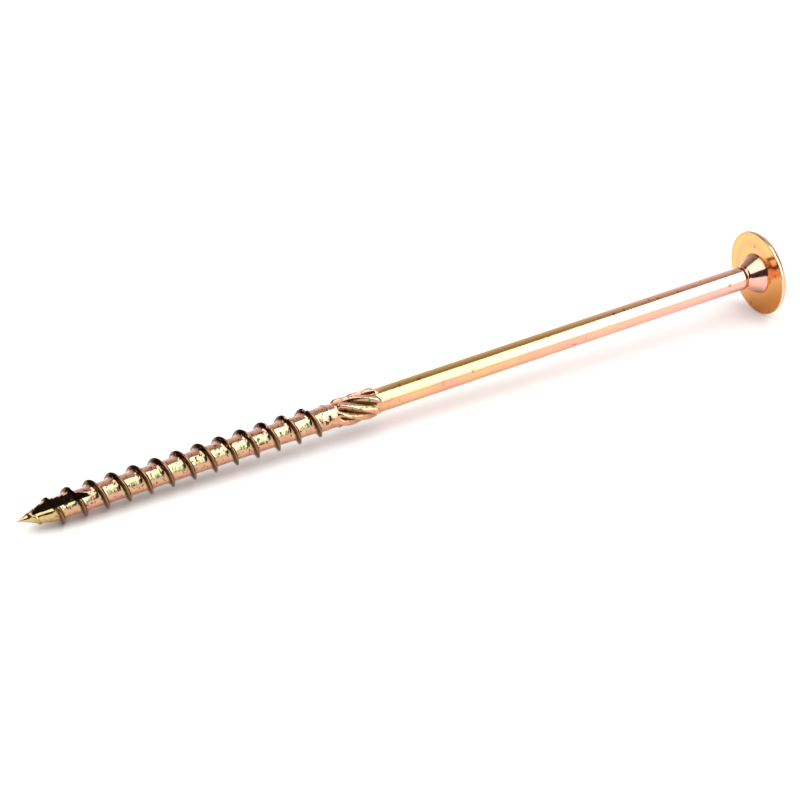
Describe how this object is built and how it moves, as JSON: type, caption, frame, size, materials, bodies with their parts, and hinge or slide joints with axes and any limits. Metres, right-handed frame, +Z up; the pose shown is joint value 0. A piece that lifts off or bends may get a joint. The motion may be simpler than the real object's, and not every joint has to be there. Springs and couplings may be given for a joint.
{
  "type": "washer head wood screw",
  "caption": "Long partly threaded timber screw with a broad washer head, a ribbed shank cutter and a notched cutting point, in yellow zinc plated steel.",
  "frame": {"origin": "on the surface that the screw lies on, under the middle of its box", "axes": "+X from the point towards the head as the screw lies, +Z up"},
  "size_m": [0.203, 0.0214, 0.0214],
  "materials": {
    "plated_steel": "bright yellow passivated zinc plating"
  },
  "bodies": {
    "root": {"screw": "plated_steel"}
  },
  "joints": []
}
